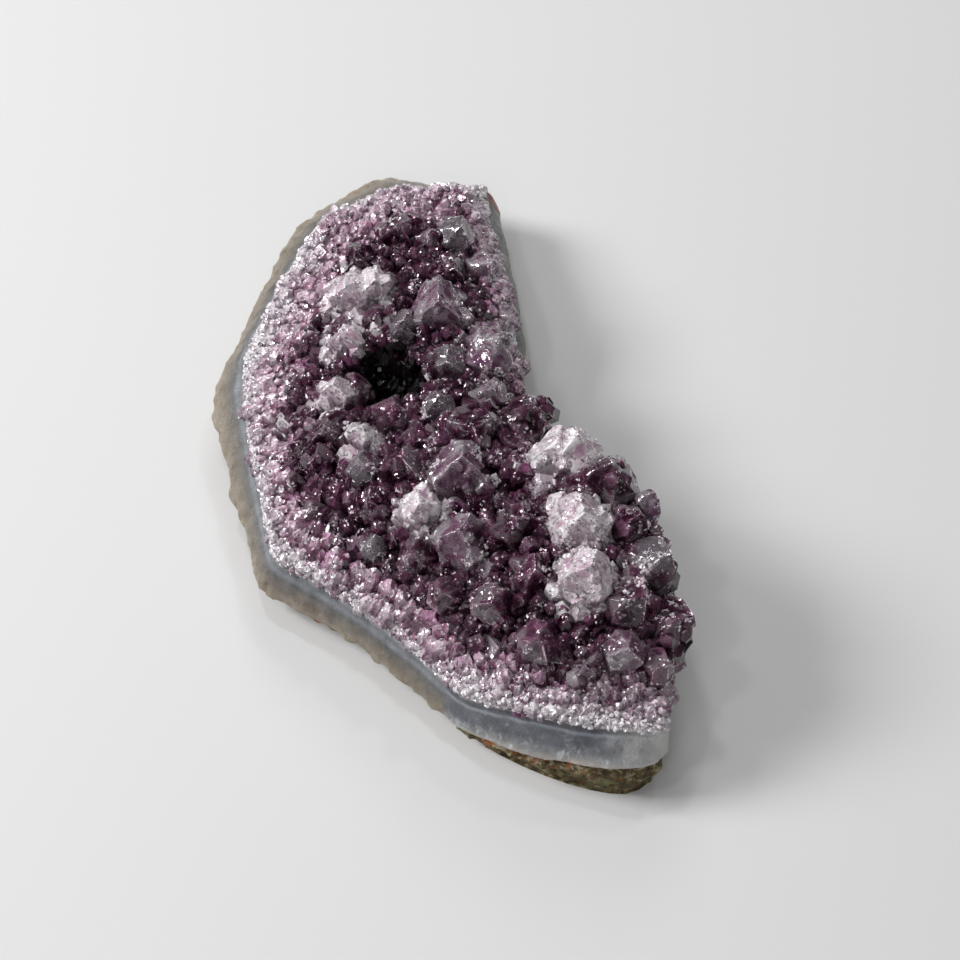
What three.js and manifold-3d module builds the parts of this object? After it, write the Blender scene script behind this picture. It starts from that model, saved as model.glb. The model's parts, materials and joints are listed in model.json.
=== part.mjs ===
// Amethyst cluster: a kidney-shaped piece broken out of a geode, lying on its sawn foot.
// From below upwards it is basalt, a polished chalcedony (agate) layer, a bed of quartz druse
// and the large amethyst crystals that stand out of the bed. Millimetres, +Z up.

import * as THREE from "three";
import { ConvexGeometry } from "three/addons/geometries/ConvexGeometry.js";
import { mergeVertices } from "three/addons/utils/BufferGeometryUtils.js";
import Module from "manifold-3d";

const wasm = await Module();
wasm.setup();

// Driving dimensions.
const CLEARANCE = 0.3;
const OUTLINE_SEGMENTS = 84;
const OUTLINE_CENTRE = [0, -24];
const EDGE_ROUGHNESS = 0.35;

// Basalt: rings between the foot and the seat, as shares of the foot's inset and of the edge's height.
const ROCK_BELLY = [
  [0.42, 0.34],
  [0.15, 0.74],
];

// The seat is where the agate lies on the basalt, in from the widest edge and under it.
const SEAT = { inset: 0.9, drop: 0.4, share: 0.2 };

// The agate layer: its floor, the lip inside its top edge and its wall.
const AGATE_THICKNESS = 3.6;
const AGATE_FLOOR = 8.5;
const LIP = { share: 0.07, drop: 1.4 };
const BOWL_SHARE = 0.3;
const WALL = { edgeLift: 0.6, bulge: 0.8, roughness: 0.2 };

// The broken faces that end the quartz: heights above the agate's top edge, at middle height
// and at the ceiling over everything.
const QUARTZ_INSET = 0.1;
const CLIFF_FOOT = { rise: 4, inset: 0.5, roughness: 0.5 };
const CLIFF_MIDDLE = { height: 21, inset: 1, roughness: 1.4 };
const CLIFF_TOP = { height: 45, inset: 1.3, roughness: 1.4 };

// The grid that the druse's surface is drawn on.
const GRID_STEP = 3.2;
const GRID_WEST = -46;
const GRID_SOUTH = -68;
const GRID_COLUMNS = 29;
const GRID_ROWS = 43;
const DRUSE_BUMP = 0.8;
const DRUSE_SHIFT = 0.7;
const HEIGHT_BLUR = 2.6;
const RIM_SHRINK = 0.94;
const VUG = { x: -9.6, y: 5.6, radius: 8, depth: 12.5, steepness: 1.1 };

// Quartz crystals.
const ROOT_LENGTH = 13;
const PRISM_UNEVENNESS = 0.13;
const FLAT_SHARE = Math.cos(Math.PI / 6);
const FACE_ANGLE = THREE.MathUtils.degToRad(51.8);
const SMALL_FACE = { setback: 0.2, spread: 0.18 };
const SHARED_VOLUME = 0.4;

// Unrelated large numbers that scatter the jitter.
const JITTER = { first: 127.1, second: 311.7, stretch: 43758.5453 };

// Steps between series of the jitter, so that one grid point or one face gets unlike numbers.
const GRID_SERIES = 100;
const FACE_SERIES = 10;
const WALL_SERIES = { edge: 3, wall: 4, cliffFoot: 5, cliffMiddle: 6, cliffTop: 7 };

// Lengths under the first count as nothing, and corners closer than the second are one corner.
const TOLERANCE = 1e-4;
const CORNER_TOLERANCE = 1e-3;

// The rim, counter-clockwise from its north peak. Each row is a point of the widest edge:
// x, y, height of that edge, inset of the foot, inset of the agate's top edge,
// height of that top edge, height of the quartz where it starts.
const RIM = [
  [-11, 62.4, 8, 10, 10.5, 13.5, 14],
  [-19, 57.6, 8, 10, 8.5, 13.5, 14.2],
  [-27, 49.6, 8, 10, 6.5, 13.5, 14.4],
  [-31.5, 38.6, 8, 9, 5.5, 13.5, 14.4],
  [-35.6, 26.5, 8, 8, 5, 13.5, 14.4],
  [-37.6, 20, 8, 8, 4.6, 13.5, 14.4],
  [-40.4, 14, 7, 8, 6.4, 13, 14],
  [-39.4, 4.8, 7, 8, 6, 13, 14],
  [-36, -7, 6, 8, 4.6, 12.5, 13.5],
  [-33.6, -15.4, 6, 7, 4.2, 12, 13],
  [-31.8, -22.5, 5, 7, 3.8, 12, 13],
  [-29.6, -27.4, 5, 7, 3.6, 12, 13],
  [-23.4, -31, 5, 7, 3.2, 12, 13],
  [-15.9, -36, 5, 8, 2.8, 12, 13],
  [-6.8, -43.4, 5, 7, 2.6, 12, 13],
  [-0.3, -49.8, 5, 6, 2.4, 12, 13],
  [3.4, -52.8, 4.6, 3, 2, 12.5, 13.5],
  [8, -55, 5, 1.5, 2.4, 13.5, 14.4],
  [15.4, -58.4, 6.4, 1, 3.2, 14.2, 15],
  [23.2, -60.9, 7.8, 0.7, 4, 14.5, 15.4],
  [29, -61.6, 8.6, 0.6, 4.2, 14.5, 15.4],
  [33.6, -60.2, 8, 1.5, 3, 14, 15],
  [35.8, -57.2, 6.4, 3, 1, 13.5, 15],
  [36, -52.6, 7.4, 4, 0.8, 12, 17],
  [37, -46, 8, 5, 0.8, 11, 21.5],
  [37.5, -39, 8, 5, 0.8, 11, 23.5],
  [36.2, -31, 8, 5, 0.8, 11, 26],
  [32.4, -24, 8, 5, 0.8, 11, 27],
  [26.4, -19, 8, 5, 0.8, 11, 28],
  [20.6, -15.6, 8, 5, 0.8, 11, 27],
  [17.2, -10.6, 8, 5, 0.8, 11, 26],
  [15.6, -4, 8, 5, 0.8, 11, 25],
  [13.8, 4, 8, 4, 1, 11.5, 19],
  [13.8, 12, 8, 4, 1.5, 12.5, 14.5],
  [14.2, 20, 8, 4, 2.2, 13, 14],
  [13.2, 32, 8, 4, 2.5, 13, 14],
  [11.2, 44, 8, 4, 3, 13, 14],
  [9.9, 53.4, 8, 5, 3, 13, 13.8],
  [8.8, 57, 8, 5, 3, 13, 13.8],
  [4.6, 58.2, 8, 6, 3.8, 13, 13.8],
  [-1.6, 59.6, 8, 8, 7, 13.4, 14],
];

// Points that the druse's surface passes near: x, y, height.
const DRUSE_HEIGHTS = [
  [-8, 50, 17.5], [1, 49, 18.5], [5, 40, 19], [-16, 42, 18], [-7.5, 36, 20.5],
  [-23, 33, 16.5], [-14, 27, 20], [1, 27, 22], [8, 26, 19.5], [-26, 22, 16.5],
  [-18, 17, 20.5], [-1, 14, 23.5], [8, 10, 22], [-29, 8, 16.5], [-19, 2, 21.5],
  [-8, 12, 23.5], [-1, 2, 24], [8, -2, 25], [-28, -6, 17], [-19, -10, 21.5],
  [-10, -7, 23.5], [2, -10, 26], [12, -8, 26.5], [-25, -17, 17], [-14, -18, 22.5],
  [-4, -18, 25.5], [6, -18, 28], [17, -20, 29], [-17, -28, 17.5], [-9, -26, 22.5],
  [0, -26, 26], [10, -28, 27.5], [20, -28, 30], [28, -26, 30], [-8, -36, 17.5],
  [0, -34, 23], [6, -41, 21.5], [14, -40, 25.5], [22, -38, 29.5], [31, -34, 28.5],
  [32, -42, 25.5], [4, -47, 16.5], [13, -48, 20.5], [23, -46, 24.5], [31, -50, 20],
  [18, -54, 16.5], [28, -55, 17],
];

// The crystals that stand out of the druse: name, tip x, y, z, lean towards +x and +y
// (run over rise), radius, spin about the axis in degrees, colour group.
const CRYSTALS = [
  ["north_crown", -7.5, 36, 24.5, 0.1, -0.5, 4, 10, "deep"],
  ["north_west_crown", -15.5, 30.5, 22.8, -0.3, -0.4, 4, 35, "deep"],
  ["north_slope", -2.6, 33.2, 24, 0, -0.5, 3, 0, "deep"],
  ["clear_north", 3, 35.5, 25, 0.3, -0.3, 3.4, 20, "clear"],
  ["pale_north_east", 8, 28.6, 23, 0.5, -0.3, 3.8, 5, "pale"],
  ["dark_north", 1.8, 26.4, 24.6, 0.2, -0.5, 3, 25, "deep"],
  ["milky_slab", -16.8, 21.6, 25, -0.2, -0.5, 3.8, 15, "milky"],
  ["milky_slab_twin", -11.6, 23.6, 25, 0.1, -0.4, 3.2, 40, "milky"],
  ["violet_point", -0.8, 15.4, 29, 0, -0.45, 5.2, 30, "pale"],
  ["smoky_point", -6.8, 13.4, 26.4, -0.1, -0.4, 3, 12, "clear"],
  ["frost_west", -17, 11.6, 25, -0.3, -0.3, 3.5, 22, "milky"],
  ["dark_west", -12.2, 15.8, 23.6, -0.1, -0.5, 2.7, 50, "deep"],
  ["glassy_point", 0.6, 4, 27.4, -0.1, -0.5, 4.2, 28, "clear"],
  ["silky_splinter", 8, 2.6, 27.2, 0.1, -1.6, 3.8, 30, "pale"],
  ["milky_pillar", -18, 1, 25.4, -0.1, -0.2, 3, 18, "milky"],
  ["vug_guard", -14.4, 2.8, 23.4, 0.1, -0.3, 2.7, 44, "deep"],
  ["west_dome", -22.8, 17, 21.4, -0.5, -0.1, 3.3, 8, "pale"],
  ["purple_block", -19, -7.8, 25.6, -0.3, -0.4, 4.6, 26, "deep"],
  ["white_column", -12.8, -9, 27.2, 0, -0.1, 2.1, 0, "milky"],
  ["west_point", -25.6, 5.2, 19.8, -0.6, 0, 3, 33, "pale"],
  ["west_low_point", -28, -3.2, 19, -0.6, -0.1, 2.6, 14, "pale"],
  ["south_west_point", -24, -13.6, 21.2, -0.5, -0.3, 3, 21, "deep"],
  ["south_west_low", -19.6, -20, 21.4, -0.4, -0.5, 3, 37, "deep"],
  ["lying_prism", -11.6, -4.6, 26.6, -2, 0.1, 3.2, 30, "deep"],
  ["clear_centre", -0.6, -4.8, 29.4, 0, -0.2, 2.8, 16, "clear"],
  ["west_facing", 0.8, -10.4, 30.6, -1.1, -0.1, 5.2, 30, "deep"],
  ["pink_point", 8.4, -2.6, 28.8, 0.1, -0.3, 2.8, 9, "pale"],
  ["saddle_edge", 15, -7.6, 31, 0.3, -0.1, 4.1, 24, "deep"],
  ["great_point", 3.4, -19.4, 33.6, 0, -0.15, 6.4, 28, "pale"],
  ["upright_point", -6.6, -16.4, 29.6, -0.2, -0.1, 4.5, 11, "deep"],
  ["clear_west", -13.2, -15.4, 27, -0.2, -0.2, 2.9, 31, "clear"],
  ["milky_step", -3.2, -25.6, 29.6, -0.1, -0.4, 3.1, 47, "milky"],
  ["lilac_point", 3, -31.6, 31, -0.1, -0.3, 4.8, 6, "pale"],
  ["mid_west_point", -11.6, -22.6, 26, -0.3, -0.4, 3.5, 29, "deep"],
  ["mid_south_point", -4.8, -33.4, 26, -0.3, -0.5, 3.4, 38, "deep"],
  ["small_frost", -11.4, -29.4, 23.6, -0.3, -0.5, 2.4, 2, "clear"],
  ["grey_frost", 18.2, -17.4, 34.2, 0, -0.1, 5.2, 19, "milky"],
  ["frost_crest", 21.4, -16.8, 35.8, 0, 0, 4.4, 44, "milky"],
  ["summit", 26.6, -22.4, 36, 0.15, 0, 6.4, 12, "deep"],
  ["white_ridge", 22, -31.2, 34.8, 0, -0.3, 4.6, 34, "milky"],
  ["milky_ridge", 22.6, -40.4, 33.8, 0, -0.4, 4.6, 7, "milky"],
  ["dark_ridge", 31, -30, 33.4, 0.4, -0.1, 3.2, 41, "deep"],
  ["glass_edge", 35.6, -36, 31, 0.9, -0.2, 4.5, 30, "clear"],
  ["pale_edge", 33.6, -24.6, 31, 0.6, 0.2, 2.8, 13, "pale"],
  ["deep_edge", 31.2, -43, 30.6, 0.4, -0.4, 4.4, 23, "deep"],
  ["east_tip", 38.8, -43.6, 25.6, 1.2, -0.2, 3.8, 30, "deep"],
  ["streaked_point", 13, -29.6, 32.8, 0, -0.3, 4.6, 45, "deep"],
  ["dark_dome", 15, -48.4, 26.6, 0, -0.5, 3.6, 17, "deep"],
  ["round_south", 28.6, -50, 26.4, 0.2, -0.5, 3.7, 27, "pale"],
  ["south_sparkle", 35, -50.4, 22.8, 0.6, -0.4, 2.9, 36, "deep"],
  ["south_column", 7.8, -42.6, 27.4, -0.1, -0.6, 3.6, 3, "deep"],
  ["plum_column", 14.6, -38.6, 30.4, 0, -0.4, 3.6, 32, "deep"],
  ["south_point", 0, -39.6, 25.6, -0.2, -0.6, 3.1, 49, "deep"],
  ["slope_point", 22.4, -51.6, 23.4, 0.1, -0.6, 2.9, 42, "pale"],
];

const LOOKS = {
  host_rock: { color: 0x5b5a48, roughness: 0.95, metalness: 0 },
  agate_rim: { color: 0xa5a6a8, roughness: 0.35, metalness: 0 },
  quartz_bed: { color: 0x7a6483, roughness: 0.35, metalness: 0 },
  deep: { color: 0x4d2f5c, roughness: 0.15, metalness: 0 },
  pale: { color: 0x8f7a9d, roughness: 0.18, metalness: 0 },
  milky: { color: 0xcfc9d2, roughness: 0.4, metalness: 0 },
  clear: { color: 0xa9a6b6, roughness: 0.1, metalness: 0 },
};

// A repeatable number from -1 to 1 for a pair of whole numbers.
function jitter(first, second) {
  const wave = Math.sin(first * JITTER.first + second * JITTER.second) * JITTER.stretch;
  return 2 * (wave - Math.floor(wave)) - 1;
}

// A closed three.js geometry as a manifold-3d solid.
function solidOf(geometry) {
  geometry.deleteAttribute("normal");
  geometry.deleteAttribute("uv");
  const merged = mergeVertices(geometry, TOLERANCE);
  return new wasm.Manifold(
    new wasm.Mesh({
      numProp: 3,
      vertProperties: merged.attributes.position.array,
      triVerts: new Uint32Array(merged.index.array),
    }),
  );
}

// A manifold-3d solid as a flat-shaded three.js geometry.
function geometryOf(solid) {
  const mesh = solid.getMesh();
  const geometry = new THREE.BufferGeometry();
  const positions = new Float32Array(mesh.vertProperties);
  geometry.setAttribute("position", new THREE.BufferAttribute(positions, 3));
  geometry.setIndex(new THREE.BufferAttribute(new Uint32Array(mesh.triVerts), 1));
  const flat = geometry.toNonIndexed();
  flat.computeVertexNormals();
  return flat;
}

// A smooth closed curve through three columns of the rim table.
function rimCurve(columns) {
  const points = RIM.map((row) => new THREE.Vector3(...columns.map((column) => row[column])));
  return new THREE.CatmullRomCurve3(points, true, "centripetal");
}

const EDGE_CURVE = rimCurve([0, 1, 2]);
const INSET_CURVE = rimCurve([3, 4, 5]);

// Every section of the rim: the widest point, the inward direction and its dimensions.
const SECTIONS = Array.from({ length: OUTLINE_SEGMENTS }, (unused, index) => {
  const along = index / OUTLINE_SEGMENTS;
  const edge = EDGE_CURVE.getPoint(along);
  const tangent = EDGE_CURVE.getTangent(along);
  const inset = INSET_CURVE.getPoint(along);
  const inward = new THREE.Vector2(-tangent.y, tangent.x).normalize();
  return { index, edge, inward, foot: inset.x, top: inset.y, topHeight: inset.z };
});

// A closed ring of points: each section gives an inset from the widest edge and a height.
function ring(insetOf, heightOf) {
  return SECTIONS.map((section) => {
    const inset = insetOf(section);
    const x = section.edge.x + section.inward.x * inset;
    const y = section.edge.y + section.inward.y * inset;
    return new THREE.Vector3(x, y, heightOf(section));
  });
}

// A ring moved towards the outline's centre by a share of the way, at heights of its own.
function innerRing(source, share, heightOf) {
  const centre = new THREE.Vector3(...OUTLINE_CENTRE, 0);
  return source.map((point) => {
    const moved = point.clone().lerp(centre, share);
    moved.z = heightOf(point);
    return moved;
  });
}

// A solid skinned over rings from its bottom centre, outwards, up and back to its top centre.
// The first levels lie under it, and their quads are split the way the part below splits them.
function skinnedSolid(bottomHeight, rings, topHeight, underLevels = 0) {
  const positions = [];
  const indices = [];
  const count = OUTLINE_SEGMENTS;
  positions.push(...OUTLINE_CENTRE, bottomHeight);
  rings.forEach((points) => points.forEach((point) => positions.push(point.x, point.y, point.z)));
  positions.push(...OUTLINE_CENTRE, topHeight);
  const last = positions.length / 3 - 1;
  for (let side = 0; side < count; side += 1) {
    const next = (side + 1) % count;
    indices.push(0, 1 + next, 1 + side);
    for (let level = 0; level < rings.length - 1; level += 1) {
      const low = 1 + level * count;
      const high = low + count;
      if (level < underLevels) {
        indices.push(low + side, low + next, high + side);
        indices.push(low + next, high + next, high + side);
      } else {
        indices.push(low + side, low + next, high + next);
        indices.push(low + side, high + next, high + side);
      }
    }
    const top = 1 + (rings.length - 1) * count;
    indices.push(last, top + side, top + next);
  }
  const geometry = new THREE.BufferGeometry();
  geometry.setAttribute("position", new THREE.Float32BufferAttribute(positions, 3));
  geometry.setIndex(indices);
  return solidOf(geometry);
}

const rough = (section, series, size) => size * jitter(section.index, series);

// Basalt: a sawn flat foot, a rounded belly and the seat of the agate.
function makeHostRock() {
  const belly = ROCK_BELLY.map(([insetShare, heightShare], level) =>
    ring((s) => s.foot * insetShare + rough(s, level + 1, EDGE_ROUGHNESS), (s) => s.edge.z * heightShare),
  );
  const seat = ring(() => SEAT.inset, (s) => s.edge.z - SEAT.drop);
  const floor = AGATE_FLOOR - AGATE_THICKNESS - CLEARANCE;
  const foot = ring((s) => s.foot, () => 0);
  return skinnedSolid(0, [foot, ...belly, seat, innerRing(seat, SEAT.share, () => floor)], floor);
}

// Agate: the knobbly outer edge, the polished wall, its top edge and the bowl under the quartz.
function makeAgate() {
  const seat = ring(() => SEAT.inset, (s) => s.edge.z - SEAT.drop + CLEARANCE);
  const wallHeight = (s) => (s.edge.z + s.topHeight) / 2 + WALL.bulge;
  const topEdge = ring((s) => s.top, (s) => s.topHeight);
  const under = AGATE_FLOOR - AGATE_THICKNESS;
  return skinnedSolid(
    under,
    [
      innerRing(seat, SEAT.share, () => under),
      seat,
      ring((s) => rough(s, WALL_SERIES.edge, EDGE_ROUGHNESS), (s) => s.edge.z + WALL.edgeLift),
      ring((s) => s.top / 2 + rough(s, WALL_SERIES.wall, WALL.roughness), wallHeight),
      topEdge,
      innerRing(topEdge, LIP.share, (point) => point.z - LIP.drop),
      innerRing(topEdge, BOWL_SHARE, () => AGATE_FLOOR),
    ],
    AGATE_FLOOR,
    1,
  );
}

// The space over the agate's bowl that the quartz may fill, walled by the broken faces.
function makeQuartzSpace(spread) {
  const lift = CLEARANCE - spread;
  const inset = QUARTZ_INSET - spread;
  const cliff = (s, series, level) => s.top + inset + level.inset + rough(s, series, level.roughness);
  const topEdge = ring((s) => s.top, (s) => s.topHeight);
  return skinnedSolid(
    AGATE_FLOOR + lift,
    [
      innerRing(topEdge, BOWL_SHARE, () => AGATE_FLOOR + lift),
      innerRing(topEdge, LIP.share, (point) => point.z - LIP.drop + lift),
      ring((s) => s.top + inset, (s) => s.topHeight + lift),
      ring((s) => cliff(s, WALL_SERIES.cliffFoot, CLIFF_FOOT), (s) => s.topHeight + CLIFF_FOOT.rise),
      ring((s) => cliff(s, WALL_SERIES.cliffMiddle, CLIFF_MIDDLE), () => CLIFF_MIDDLE.height),
      ring((s) => cliff(s, WALL_SERIES.cliffTop, CLIFF_TOP), () => CLIFF_TOP.height),
    ],
    CLIFF_TOP.height,
    2,
  );
}

// The basalt and agate as one plain block, a clearance larger, filled up under the quartz.
function makeStoneBlock() {
  return skinnedSolid(
    0,
    [
      ring((s) => s.foot, () => 0),
      ring(() => -CLEARANCE - EDGE_ROUGHNESS, (s) => s.edge.z + WALL.edgeLift),
      ring((s) => s.top - CLEARANCE, (s) => s.topHeight + CLEARANCE),
    ],
    AGATE_FLOOR + CLEARANCE,
  );
}

// Height of the druse over a point: a blend of the rim's and the listed heights, less the vug.
function druseHeight(x, y) {
  let total = 0;
  let weights = 0;
  const addPoint = (px, py, height) => {
    const weight = 1 / ((x - px) ** 2 + (y - py) ** 2 + HEIGHT_BLUR ** 2) ** 2;
    total += weight * height;
    weights += weight;
  };
  DRUSE_HEIGHTS.forEach(([px, py, height]) => addPoint(px, py, height));
  RIM.forEach((row) => addPoint(row[0] * RIM_SHRINK, row[1] * RIM_SHRINK, row[6]));
  const reach = Math.hypot(x - VUG.x, y - VUG.y) / VUG.radius;
  const bowl = reach < 1 ? (1 - reach * reach) ** VUG.steepness : 0;
  return total / weights - VUG.depth * bowl;
}

// A block under the druse's uneven surface, wider than the quartz.
function makeDruseBlock(lift) {
  const positions = [];
  const indices = [];
  const index = (column, row, layer) => ((row * GRID_COLUMNS + column) * 2 + layer);
  for (let row = 0; row < GRID_ROWS; row += 1) {
    for (let column = 0; column < GRID_COLUMNS; column += 1) {
      const x = GRID_WEST + column * GRID_STEP + DRUSE_SHIFT * jitter(column, row);
      const y = GRID_SOUTH + row * GRID_STEP + DRUSE_SHIFT * jitter(column + GRID_SERIES, row);
      const bump = DRUSE_BUMP * jitter(column, row + GRID_SERIES);
      positions.push(x, y, 0);
      positions.push(x, y, druseHeight(x, y) + bump + lift);
    }
  }
  const quad = (a, b, c, d) => indices.push(a, b, c, a, c, d);
  for (let row = 0; row < GRID_ROWS - 1; row += 1) {
    for (let column = 0; column < GRID_COLUMNS - 1; column += 1) {
      const corners = [[column, row], [column + 1, row], [column + 1, row + 1], [column, row + 1]];
      quad(...corners.map(([c, r]) => index(c, r, 1)));
      quad(...corners.reverse().map(([c, r]) => index(c, r, 0)));
    }
  }
  const wall = (from, to) => quad(index(...from, 0), index(...to, 0), index(...to, 1), index(...from, 1));
  const east = GRID_COLUMNS - 1;
  const north = GRID_ROWS - 1;
  for (let column = 0; column < east; column += 1) {
    wall([column, 0], [column + 1, 0]);
    wall([column + 1, north], [column, north]);
  }
  for (let row = 0; row < north; row += 1) {
    wall([east, row], [east, row + 1]);
    wall([0, row + 1], [0, row]);
  }
  const geometry = new THREE.BufferGeometry();
  geometry.setAttribute("position", new THREE.Float32BufferAttribute(positions, 3));
  geometry.setIndex(indices);
  return solidOf(geometry);
}

// The corners where three planes meet inside all the others.
function cornersOf(planes) {
  const corners = [];
  const meet = (a, b, c) => {
    const bc = new THREE.Vector3().crossVectors(b.normal, c.normal);
    const ca = new THREE.Vector3().crossVectors(c.normal, a.normal);
    const ab = new THREE.Vector3().crossVectors(a.normal, b.normal);
    const divisor = a.normal.dot(bc);
    if (Math.abs(divisor) < TOLERANCE) return;
    const point = bc.multiplyScalar(a.distance);
    point.addScaledVector(ca, b.distance).addScaledVector(ab, c.distance);
    point.divideScalar(divisor);
    const inside = planes.every((plane) => plane.normal.dot(point) < plane.distance + TOLERANCE);
    const known = corners.some((corner) => corner.distanceTo(point) < CORNER_TOLERANCE);
    if (inside && !known) corners.push(point);
  };
  for (let i = 0; i < planes.length; i += 1) {
    for (let j = i + 1; j < planes.length; j += 1) {
      for (let k = j + 1; k < planes.length; k += 1) meet(planes[i], planes[j], planes[k]);
    }
  }
  return corners;
}

// One quartz crystal: six uneven prism faces, three large and three small end faces.
function makeCrystal(entry, number, growth) {
  const [, x, y, z, leanX, leanY, radius, spin] = entry;
  const planes = [{ normal: new THREE.Vector3(0, 0, -1), distance: ROOT_LENGTH }];
  for (let face = 0; face < 6; face += 1) {
    const turn = (face * Math.PI) / 3;
    const side = new THREE.Vector3(Math.cos(turn), Math.sin(turn), 0);
    const uneven = 1 + PRISM_UNEVENNESS * jitter(number, face);
    planes.push({ normal: side, distance: radius * FLAT_SHARE * uneven + growth });
    const slope = side.clone().multiplyScalar(Math.sin(FACE_ANGLE));
    slope.z = Math.cos(FACE_ANGLE);
    const setback = SMALL_FACE.setback + SMALL_FACE.spread * jitter(number, face + FACE_SERIES);
    planes.push({ normal: slope, distance: (face % 2 ? radius * setback : 0) + growth });
  }
  const geometry = new ConvexGeometry(cornersOf(planes));
  const axis = new THREE.Vector3(leanX, leanY, 1).normalize();
  const lean = new THREE.Quaternion().setFromUnitVectors(new THREE.Vector3(0, 0, 1), axis);
  geometry.rotateZ(THREE.MathUtils.degToRad(spin));
  geometry.applyQuaternion(lean);
  geometry.translate(x, y, z);
  return solidOf(geometry);
}

function largestPiece(solid) {
  const pieces = solid.decompose();
  return pieces.reduce((best, piece) => (piece.volume() > best.volume() ? piece : best));
}

const agateRim = makeAgate();
const quartzBed = largestPiece(makeQuartzSpace(0).intersect(makeDruseBlock(0)));
const raisedBed = makeQuartzSpace(CLEARANCE).intersect(makeDruseBlock(CLEARANCE));
const seatCutter = raisedBed.add(makeStoneBlock());

// Each crystal ends on the druse. Crystals of one colour group that grew into each other are
// one solid. A crystal that meets one of another group stops short of it by the clearance.
const grown = [];
CRYSTALS.forEach((entry, number) => {
  const look = entry[8];
  let solid = largestPiece(makeCrystal(entry, number, 0).subtract(seatCutter));
  let host = null;
  for (const other of [...grown]) {
    const shared = other.solid.intersect(solid).volume();
    if (other.look === look && shared > SHARED_VOLUME) {
      solid = solid.add(other.solid);
      grown.splice(grown.indexOf(other), 1);
      if (host) host.envelopes.push(...other.envelopes);
      host = host ?? other;
    }
  }
  const record = host ?? { name: entry[0], look, envelopes: [] };
  record.solid = solid;
  record.envelopes.push(makeCrystal(entry, number, CLEARANCE));
  grown.push(record);
});
grown.forEach((record, number) => {
  grown.slice(number + 1).forEach((other) => {
    record.envelopes.forEach((envelope) => {
      other.solid = largestPiece(other.solid.subtract(envelope));
    });
  });
});

const cluster = new THREE.Group();

function addPart(name, look, solid) {
  const material = new THREE.MeshStandardMaterial({ ...LOOKS[look], name: look });
  const mesh = new THREE.Mesh(geometryOf(solid), material);
  mesh.name = name;
  cluster.add(mesh);
}

addPart("host_rock", "host_rock", makeHostRock());
addPart("agate_rim", "agate_rim", agateRim);
addPart("quartz_bed", "quartz_bed", quartzBed);
grown.forEach((record) => addPart(`crystal_${record.name}`, record.look, record.solid));

// The origin is the bottom centre of the whole object's box.
const box = new THREE.Box3().setFromObject(cluster);
const middle = box.getCenter(new THREE.Vector3());
cluster.position.set(-middle.x, -middle.y, -box.min.z);

const group = new THREE.Group();
group.name = "amethyst_cluster";
group.add(cluster);

export default group;
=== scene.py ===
"""Amethyst cluster: the looks of a geode piece with basalt skin, agate rim, druse and crystals."""

import itertools
import json
import math

import bmesh
import bpy
import numpy as np
from mathutils import Matrix, Vector, noise
from mathutils.bvhtree import BVHTree


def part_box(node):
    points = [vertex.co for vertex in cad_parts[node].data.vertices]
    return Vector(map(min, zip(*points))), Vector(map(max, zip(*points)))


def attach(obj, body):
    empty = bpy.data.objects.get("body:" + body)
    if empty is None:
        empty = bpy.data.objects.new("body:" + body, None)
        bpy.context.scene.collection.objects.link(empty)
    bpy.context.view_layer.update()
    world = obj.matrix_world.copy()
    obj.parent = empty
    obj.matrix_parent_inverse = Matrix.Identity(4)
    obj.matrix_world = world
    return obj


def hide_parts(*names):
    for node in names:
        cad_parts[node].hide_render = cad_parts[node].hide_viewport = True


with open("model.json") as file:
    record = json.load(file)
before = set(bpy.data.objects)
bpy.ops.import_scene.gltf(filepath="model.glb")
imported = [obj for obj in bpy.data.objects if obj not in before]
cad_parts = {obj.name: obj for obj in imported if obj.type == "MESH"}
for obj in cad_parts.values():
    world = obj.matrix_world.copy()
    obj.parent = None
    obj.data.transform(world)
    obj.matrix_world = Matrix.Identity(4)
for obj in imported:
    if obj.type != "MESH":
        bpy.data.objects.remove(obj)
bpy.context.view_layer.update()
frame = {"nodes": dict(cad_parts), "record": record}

MM = 0.001
BODY = "root"
UP = Vector((0, 0, 1))
SLOT_OF = {row["node"]: row["material_slot"] for row in frame["record"]["subparts"]}
CRYSTAL_NODES = sorted(name for name in frame["nodes"] if name.startswith("crystal_"))

# Surfaces closer than this touch, so the face between them is hidden.
TOUCHING = 0.4 * MM

# The longest edges that are left when each mesh is refined, and the passes that may take.
AGATE_EDGE = 0.9 * MM
ROCK_EDGE = 1.1 * MM
BED_EDGE = 1.6 * MM
CRYSTAL_EDGE = 0.75 * MM
CRUST_EDGE = 1.2 * MM
REFINE_PASSES = 5

# Seeds of the random numbers.
SEEDS = {"druse": 11, "standing": 23, "side": 31, "middle": 37, "crust": 41, "cracks": 43}

# The agate: a tan rind by angle in degrees about a point inside the piece, a speckled broken
# wall in the east, a pale corner and a rust-red corner, each with the reach of its fading.
TAN_CENTRE = (5 * MM, -20 * MM)
TAN_ANGLES = (85, 105, 262, 263.5)
TAN_SHARES = (0.15, 1, 1, 0)
EAST_CORNER = (7 * MM, -16 * MM)
EAST_REACH = 4 * MM
PALE_CORNER = (37 * MM, -57 * MM)
PALE_REACH = 12 * MM
RUST_CORNER = (10.6 * MM, 55 * MM)
RUST_REACH = 5 * MM

# The agate's relief. Knobs and wrinkles stand on a belt over the basalt, waves everywhere.
# Sizes are across and heights, in millimetres, are outwards.
KNOB_SIZE = 4 * MM
WRINKLE_SIZE = 1.8 * MM
KNOB_BELT = 5 * MM
WAVE_HEIGHT = 0.12
KNOB_HEIGHT = 0.6
WRINKLE_HEIGHT = 0.25
POLISH_LOSS = 0.1

# The basalt: its seat is above this height and is raised by the seam to meet the agate.
# The stains along the seam fade over some millimetres.
SEAT_HEIGHT = 2 * MM
SEAM = 0.34 * MM
SEAM_FADE = 2.0

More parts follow.
